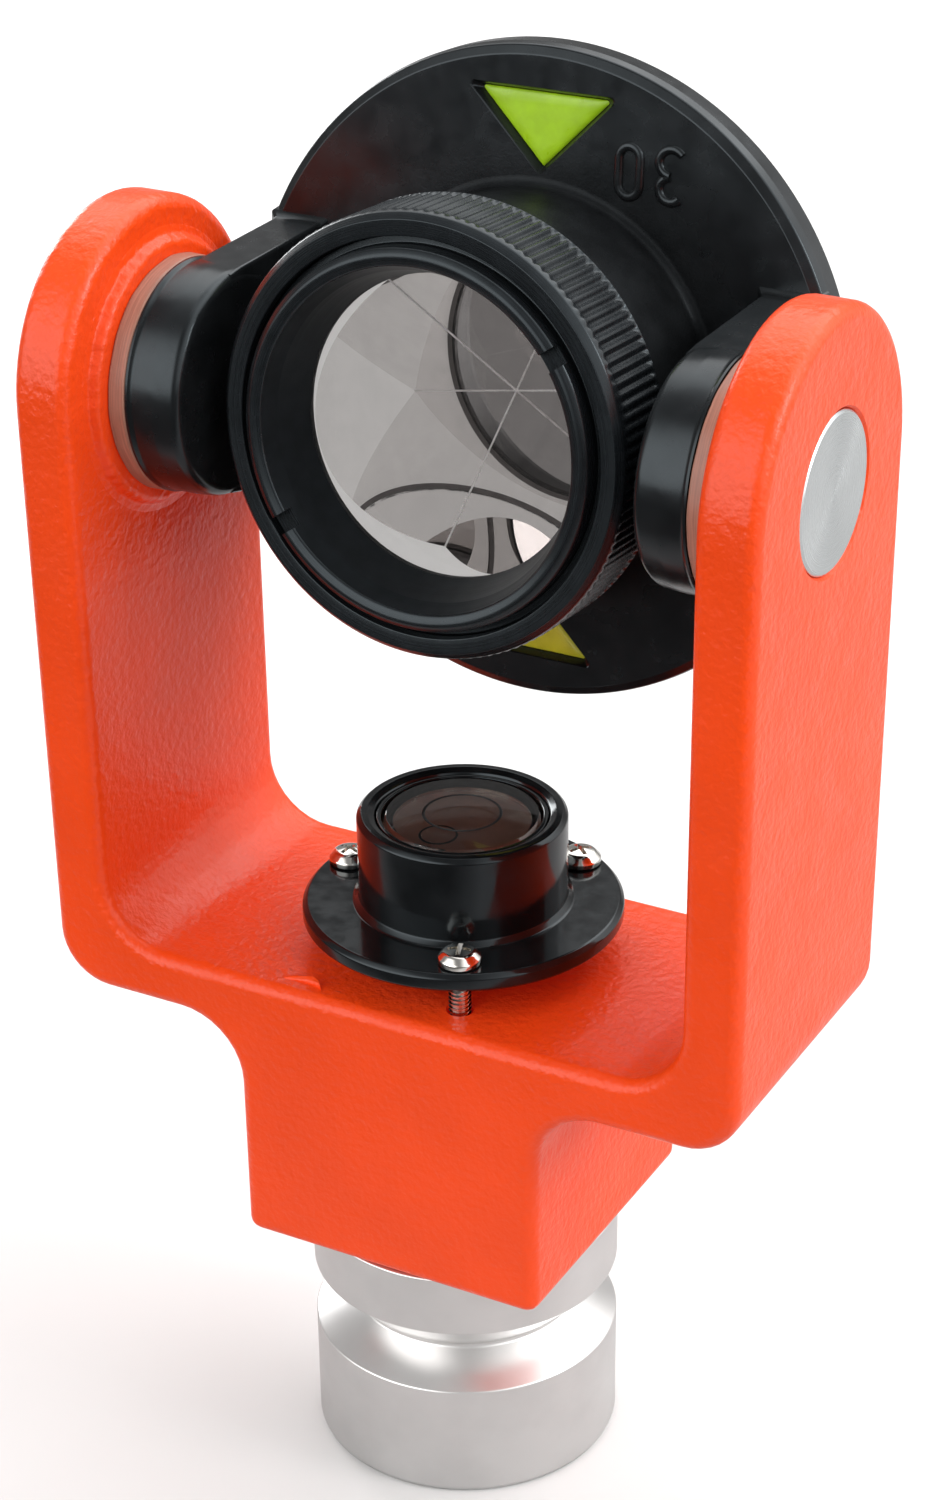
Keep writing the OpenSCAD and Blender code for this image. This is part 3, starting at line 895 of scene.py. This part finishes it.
def build_barrel():
    """The knurled grip, the neck that screws into the hub, and the stepped bore."""
    heights = [FRONT + 1.0 + 0.14 * k for k in range(6)] + [-3.0, -0.5] + [0.85 + 0.12 * k for k in range(6)]
    profile = [(FLANGE_BORE_R, FLANGE_Y), (FLANGE_BORE_R, FRONT + 0.06, 0.12), (17.75, FRONT, 0.12),
               (18.25, FRONT + 0.55, 0.45)]
    profile += [(GRIP_R, y) for y in heights]
    profile += [(18.2, SHOULDER, 0.1), (NECK_R, SHOULDER), (NECK_R, NECK_END), (BORE_R, NECK_END),
                (BORE_R, GLASS_Y), (RING_BORE_R, GLASS_Y), (RING_BORE_R, FLANGE_Y)]
    o = lathe("canister_shell", profile, TURN_Y, KNURLS * 7, 5, knurl)
    dress(o, ANODISED, "canister", "canister_barrel", 40)


def spanner_slot(deg):
    inner, outer, half, corner = 12.8, 16.4, 0.8, 0.1
    outline = [(inner, -half, corner), (outer, -half, corner), (outer, half, corner), (inner, half, corner)]
    turn = Matrix.Rotation(math.radians(-deg), 4, "Y")
    return prism("slot", outline, -9.0, -6.2, TARGET @ turn @ SPIN_Y)


def build_ring():
    """The threaded ring that holds the glass: a flange, a raised lip and a cone down to the aperture."""
    flange_r, lip_r, body_r, seat = 16.36, 15.7, 15.15, GLASS_Y - 0.44
    profile = [(flange_r, -4.6), (flange_r, -5.2, 0.1), (lip_r, -5.2, 0.15), (lip_r, -6.85, 0.35),
               (15.05, -7.32, 0.6), (14.25, -7.0, 0.35), (13.6, -5.3, 0.08), (12.6, seat, 0.05),
               (body_r, seat), (body_r, -4.6)]
    o = lathe("retaining_ring_turned", profile, TURN_Y, 256, 5)
    cut(o, spanner_slot(36), spanner_slot(216))
    dress(o, [ANODISED, MATT_BORE], "canister", "retaining_ring", 34)
    for f in o.data.polygons:
        spot = TARGET.inverted() @ f.center
        if math.hypot(spot.x, spot.z) < 14.0 and spot.y > -6.5:   # the cone
            f.material_index = 1


def build_glass():
    """A glass cylinder ending in three mutually square silvered faces that meet on the axis."""
    bevel, size = 0.35, 40
    profile = [(0, GLASS_Y), (GLASS_R - bevel, GLASS_Y), (GLASS_R, GLASS_Y + bevel),
               (GLASS_R, 30.0), (0, 30.0)]
    o = lathe("corner_cube", profile, TURN_Y, 160)
    bm = bmesh.new()
    bmesh.ops.create_cube(bm, size=size)
    bmesh.ops.translate(bm, vec=[-size / 2] * 3, verts=bm.verts)
    corner = from_bmesh("corner", bm)
    # the cube's diagonal lies along the axis, its corner at the apex
    tip = Vector((1, 1, 1)).normalized().rotation_difference(Vector((0, 1, 0))).to_matrix().to_4x4()
    roll = Matrix.Rotation(math.radians(CUBE_ROLL), 4, "Y")
    corner.data.transform(TARGET @ Matrix.Translation((0, APEX, 0)) @ roll @ tip)
    m = corner.modifiers.new("edge", "BEVEL")
    m.width, m.segments = 0.10 * MM, 1
    bake(corner)
    combine(o, [corner], "INTERSECT")
    dress(o, [GLASS, MIRROR, FROSTED, GROUND_GLOW, BEVEL], "canister", "prism_glass", 5)
    back = (TARGET.to_3x3() @ Vector((0, 1, 0))).normalized()
    for f in o.data.polygons:
        lean = f.normal.dot(back)
        if lean > 0.3:   # a mirror leans by 1 / sqrt(3), a bevelled edge between two mirrors by more
            f.material_index = 1 if abs(lean - 0.577) < 0.01 else 2
        elif abs(lean) < 0.2:   # the cylindrical wall
            f.material_index = 3
        elif lean > -0.9:       # the front bevel
            f.material_index = 4


def spanner_hole(x):
    spot = TARGET @ Matrix.Translation((x, 0, 0)) @ SPIN_Y
    r, mouth_r = 1.0, 1.15
    profile = [(0, 21.0), (r, 21.0), (r, 21.9), (mouth_r, 22.1), (mouth_r, 23), (0, 23)]
    return lathe("spanner_hole", profile, spot, 32)


def build_cover():
    """The screwed cover behind the mirrors, with a turned ring line and two spanner holes."""
    r, front, face, line = 14.55, NECK_END, 22.0, 21.75
    profile = [(0, front), (r, front), (r, 21.4, 0.3), (13.9, face, 0.2), (12.2, face, 0.1),
               (12.0, line, 0.1), (11.6, line, 0.1), (11.4, face, 0.1), (0, face)]
    o = lathe("rear_cover_turned", profile, TURN_Y, 160, 4)
    cut(o, spanner_hole(-8.0), spanner_hole(8.0))
    dress(o, ANODISED, "canister", "rear_cover", 34)


def frosted():
    """The narrow ground bevels between the mirrors, seen as pale lines."""
    p = Paint("frosted_bevel", (0.85, 0.83, 0.83), 0.6)
    p.tint(p.noise(400, 3), 0.9, 1.1)
    return p.mat


def glowing_ground_side():
    """The ground wall of the prism; its glow is painted light that stands in for the light scattered inside
    the glass.
    """
    p = Paint("glowing_ground_side", (0.30, 0.28, 0.28), 0.6)
    p.set(p.main, {"Emission Color": (0.53, 0.53, 0.52, 1), "Emission Strength": 0.8})
    p.tint(p.noise(400, 3), 0.9, 1.1)
    return p.mat


def ground_bevel():
    """The ground bevel round the prism's front face, which shows as a soft grey line."""
    p = Paint("ground_bevel", (0.26, 0.25, 0.25), 0.6)
    p.tint(p.noise(400, 3), 0.9, 1.1)
    return p.mat


FROSTED = frosted()
GROUND_GLOW = glowing_ground_side()
BEVEL = ground_bevel()
build_barrel()
build_ring()
build_glass()
build_cover()

# ---------------------------------------------------------------- circular vial
# heights above the yoke's floor
GAP, FLANGE, RIM = 2.9, 4.65, 13.1   # underside and top of the flange, and the cup's rim
SEAT = GAP + 1.2                     # where the glass stands in the cup
BASE_UP = 8.1                        # the dial that closes the fluid below
CEILING, WALL = 1.7, 1.95            # depth of the glass's inner face below the rim, at its middle and edge
FLANGE_R, CUP_R, BORE, GLASS_OUT, FLUID_R = 14.3, 9.3, 7.6, 7.05, 6.1
CIRCLE_IN, CIRCLE_OUT = 3.31, 3.49   # the engraved circle


def build_housing():
    """The flanged cup, with three screw holes."""
    groove = GAP + 0.25   # room for the cushion ring when the cup rolls
    hole_r = 1.25
    profile = [(0, GAP), (7.6, GAP), (7.6, groove), (9.6, groove), (9.6, GAP), (13.95, GAP, 0.3),
               (FLANGE_R, GAP + 0.35, 0.3), (FLANGE_R, FLANGE - 0.4, 0.35), (13.9, FLANGE, 0.3),
               (9.75, FLANGE, 0.4), (CUP_R, FLANGE + 0.5, 0.3), (CUP_R, RIM - 0.4, 0.35), (8.9, RIM, 0.3),
               (8.3, RIM, 0.3), (7.75, RIM - 0.25, 0.3), (BORE, RIM - 0.6, 0.2), (BORE, SEAT), (0, SEAT)]
    o = lathe("vial_cup", profile, VIAL, 192, 6)
    cut(o, *[drill(hole_r, 0, 8, upright(node, FLOOR_Z), 48) for node in SCREWS])
    dress(o, VIAL_BLACK, "vial", "vial_housing", 34)


def build_bezel():
    inner, outer = 7.12, 7.55
    profile = [(inner, RIM - 1.7), (outer, RIM - 1.7), (outer, RIM - 0.4, 0.12), (inner, RIM - 0.35, 0.12)]
    o = lathe("vial_bezel_ring", profile, VIAL, 128, 3)
    dress(o, VIAL_BLACK, "vial", "vial_bezel", 40)


def build_dome():
    """The glass with its inked circle; its wall is blackened and the dial closes it below."""
    lip, line = 0.05, RIM - 0.40
    profile = [(0, SEAT), (GLASS_OUT, SEAT), (GLASS_OUT, RIM - 0.75, 0.2), (6.7, RIM - 0.35, 0.2),
               (CIRCLE_OUT + lip, RIM - 0.28), (CIRCLE_OUT, line), (CIRCLE_IN, line),
               (CIRCLE_IN - lip, RIM - 0.28), (0, RIM - 0.25),
               (0, RIM - CEILING), (FLUID_R, RIM - WALL), (FLUID_R, BASE_UP), (0, BASE_UP)]
    o = lathe("vial_dome", profile, VIAL, 128, 4)
    dress(o, [VIAL_GLASS, INK_AND_SHADE, DIAL], "vial", "vial_glass", 40)
    for f in o.data.polygons:
        spot = VIAL.inverted() @ f.center
        r = spot.xy.length
        if spot.z > RIM - 0.5 and 3.27 < r < 3.53:
            f.material_index = 1
        elif spot.z < BASE_UP + 0.05 and r < 6.05:
            f.material_index = 2
        elif r > 5.9 and spot.z < RIM - 1.0:
            f.material_index = 1


def build_liquid():
    film = 0.03   # left between the fluid and the glass
    r = FLUID_R - 0.04
    profile = [(0, BASE_UP + film), (r, BASE_UP + film), (r, RIM - WALL - film, 0.05),
               (0, RIM - CEILING - 0.04)]
    o = lathe("vial_liquid", profile, VIAL, 96, 3)
    dress(o, FLUID, "vial", "vial_fluid", 40)


def build_bubble():
    """A flat bubble under the glass; it is nearly level below and bulges at its rim, whose black faces are
    painted shade.
    """
    spot = upright("vial_bubble", FLOOR_Z)
    high, r, rim = RIM - 1.86, 1.72, 0.16
    shape = [(0, high - 0.62), (0.9, high - 0.60, 0.6), (r, high - 0.38, 0.25), (r, high - 0.16, 0.15),
             (r - 0.25, high - 0.03, 0.2), (0, high)]
    o = dress(lathe("air_bubble", shape, spot, 72, 6), [BUBBLE, INK_AND_SHADE], "bubble", "vial_bubble", 50)
    # the rim faces take the black: painted shade for the bubble's dark rim
    for f in o.data.polygons:
        if (spot.inverted() @ f.center).xy.length > r - rim:
            f.material_index = 1


build_bubble()
build_housing()
build_bezel()
build_dome()
build_liquid()


# ---------------------------------------------------------------- vial screws
HEAD = FLANGE + 0.1   # underside of the heads
TIP = -4.15           # end of the shanks, below the floor's top


def cross_blade(place, deg):
    """One of the two crossed blades of the driver recess, tapering down into the head."""
    low, high = HEAD + 0.45, HEAD + 2
    corners = ((-1, -1), (1, -1), (1, 1), (-1, 1))
    sections = ((0.45, 0.12, low), (1.05, 0.20, high - 0.75), (1.15, 0.22, high))
    rings = [[(x * w, y * t, z) for x, y in corners] for w, t, z in sections]
    return loft("blade", rings, place @ Matrix.Rotation(math.radians(deg), 4, "Z"))


def build_screw(node, turn_deg):
    """A pan-head screw with a cross recess and a real thread."""
    place = upright(node, FLOOR_Z) @ Matrix.Rotation(math.radians(turn_deg), 4, "Z")
    core_r, thread_r = 0.82, 1.0
    profile = [(0, TIP), (0.72, TIP), (core_r, TIP + 0.25), (core_r, HEAD - 0.1), (0.95, HEAD),
               (1.88, HEAD, 0.12), (1.9, HEAD + 0.55, 0.35), (1.35, HEAD + 1.15, 0.7), (0, HEAD + 1.42)]
    o = lathe(node.replace("vial_", "") + "_pan", profile, place, 64, 6)
    cut(o, cross_blade(place, 0), cross_blade(place, 90))
    ridge = helix(thread_r, 0.17, 0.4, -3.8, FLANGE - 0.2, place, 28)
    bm = bmesh.new()
    bm.from_mesh(o.data)
    bm.from_mesh(ridge.data)
    bm.to_mesh(o.data)
    bm.free()
    bpy.data.objects.remove(ridge)
    dress(o, NICKEL, node.replace("vial_", ""), node, 36)


for node, turn_deg in zip(SCREWS, (20, 52, 75)):
    build_screw(node, turn_deg)

# ---------------------------------------------------------------- CAD nodes that stay in view
KEEP = {"spigot_bolt": BLACK_STEEL, "pivot_bush_left": BRONZE, "pivot_bush_right": BRONZE,
        "spring_washer_left": STEEL, "spring_washer_right": STEEL,
        "pivot_screw_left": STEEL, "pivot_screw_right": STEEL,
        "front_gasket": RUBBER, "prism_cushion": RUBBER, "cover_o_ring": RUBBER, "canister_seal": RUBBER,
        "vial_cushion": RUBBER}
for name, material in KEEP.items():
    o = frame["nodes"][name]
    o.data.materials.clear()
    o.data.materials.append(material)


# ---------------------------------------------------------------- stage
def build_floor():
    bm = bmesh.new()
    bmesh.ops.create_grid(bm, x_segments=2, y_segments=2, size=6.0)
    o = from_bmesh("floor", bm)
    o.data.materials.append(floor_paint())


def build_world():
    """A pale tent: dimmer in front and low on the left, bright on the right and behind."""
    world = bpy.data.worlds.new("studio")
    bpy.context.scene.world = world
    world.use_nodes = True
    t = world.node_tree
    t.nodes.clear()
    out = t.nodes.new("ShaderNodeOutputWorld")
    coord = t.nodes.new("ShaderNodeTexCoord")
    level = BASE_LIGHT
    for direction, gain, start, end in LOBES:
        dot = t.nodes.new("ShaderNodeVectorMath")
        dot.operation = "DOT_PRODUCT"
        t.links.new(coord.outputs["Generated"], dot.inputs[0])
        dot.inputs[1].default_value = Vector(direction).normalized()
        lobe = t.nodes.new("ShaderNodeMapRange")
        lobe.interpolation_type = "SMOOTHSTEP"
        t.links.new(dot.outputs["Value"], lobe.inputs["Value"])
        for key, v in (("From Min", start), ("From Max", end), ("To Min", 0.0), ("To Max", gain)):
            lobe.inputs[key].default_value = v
        total = t.nodes.new("ShaderNodeMath")
        total.operation = "ADD"
        t.links.new(lobe.outputs["Result"], total.inputs[0])
        if isinstance(level, float):
            total.inputs[1].default_value = level
        else:
            t.links.new(level, total.inputs[1])
        level = total.outputs[0]
    soft = t.nodes.new("ShaderNodeBackground")
    soft.inputs[0].default_value = (1.0, 0.99, 0.985, 1)
    t.links.new(level, soft.inputs[1])
    t.links.new(soft.outputs[0], out.inputs[0])


def softbox(name, position, aim, width, height, watts, colour=(1, 1, 1)):
    light = bpy.data.lights.new(name, "AREA")
    light.shape, light.size, light.size_y = "RECTANGLE", width, height
    light.energy, light.color = watts, colour
    o = bpy.data.objects.new(name, light)
    bpy.context.scene.collection.objects.link(o)
    o.location = position
    o.rotation_euler = (Vector(aim) - Vector(position)).to_track_quat("-Z", "Y").to_euler()


BASE_LIGHT = 0.25
# direction, gain, and the cosines at which the lobe starts and is full
LOBES = [((0.1, 0.45, 0.9), 1.3, 0.70, 0.92),
         ((1, 0.25, 0.3), 1.55, 0.35, 0.9),
         ((-0.42, -0.86, 0.24), 2.6, 0.70, 0.95)]
AIM = (0, 0, 0.07)
build_floor()
build_world()
softbox("side", (0.60, 0.07, 0.40), AIM, 0.22, 0.22, 1.3)
softbox("left", (-0.55, 0.33, 0.24), AIM, 0.22, 0.26, 1.6)
softbox("back", (-0.12, 0.38, 0.59), AIM, 0.95, 0.50, 1.9)


# ---------------------------------------------------------------- camera
AZIMUTH, ELEVATION, ROLL = 28.993, 30.628, -0.812
DISTANCE = 0.28771
FOCAL, SENSOR, SHIFT = 3200 / 1500, 36, 0.15   # focal length over the frame's height, sensor in mm
SLIDE, RISE = 0.000326, -0.003435              # offset of the point looked at from the yoke's floor


def build_camera():
    a, e = math.radians(AZIMUTH), math.radians(ELEVATION)
    back = Vector((math.sin(a) * math.cos(e), -math.cos(a) * math.cos(e), math.sin(e)))
    right = Vector((math.cos(a), math.sin(a), 0))
    up = back.cross(right)
    data = bpy.data.cameras.new("camera")
    data.lens = FOCAL * SENSOR
    data.shift_y = SHIFT
    data.clip_start, data.clip_end = 0.02, 20
    cam = bpy.data.objects.new("camera", data)
    bpy.context.scene.collection.objects.link(cam)
    place = Matrix((right, up, back)).transposed().to_4x4()
    place.translation = Vector((0, 0, FLOOR_Z + RISE)) + back * DISTANCE + right * SLIDE
    cam.matrix_world = place @ Matrix.Rotation(math.radians(ROLL), 4, "Z")
    bpy.context.scene.camera = cam


build_camera()
# the colours are set for a plain display transform
view = bpy.context.scene.view_settings
view.view_transform, view.look = "Standard", "None"
# the prism and the vial hand light on many times before it comes out
paths = bpy.context.scene.cycles
paths.max_bounces, paths.transmission_bounces, paths.glossy_bounces = 24, 24, 14
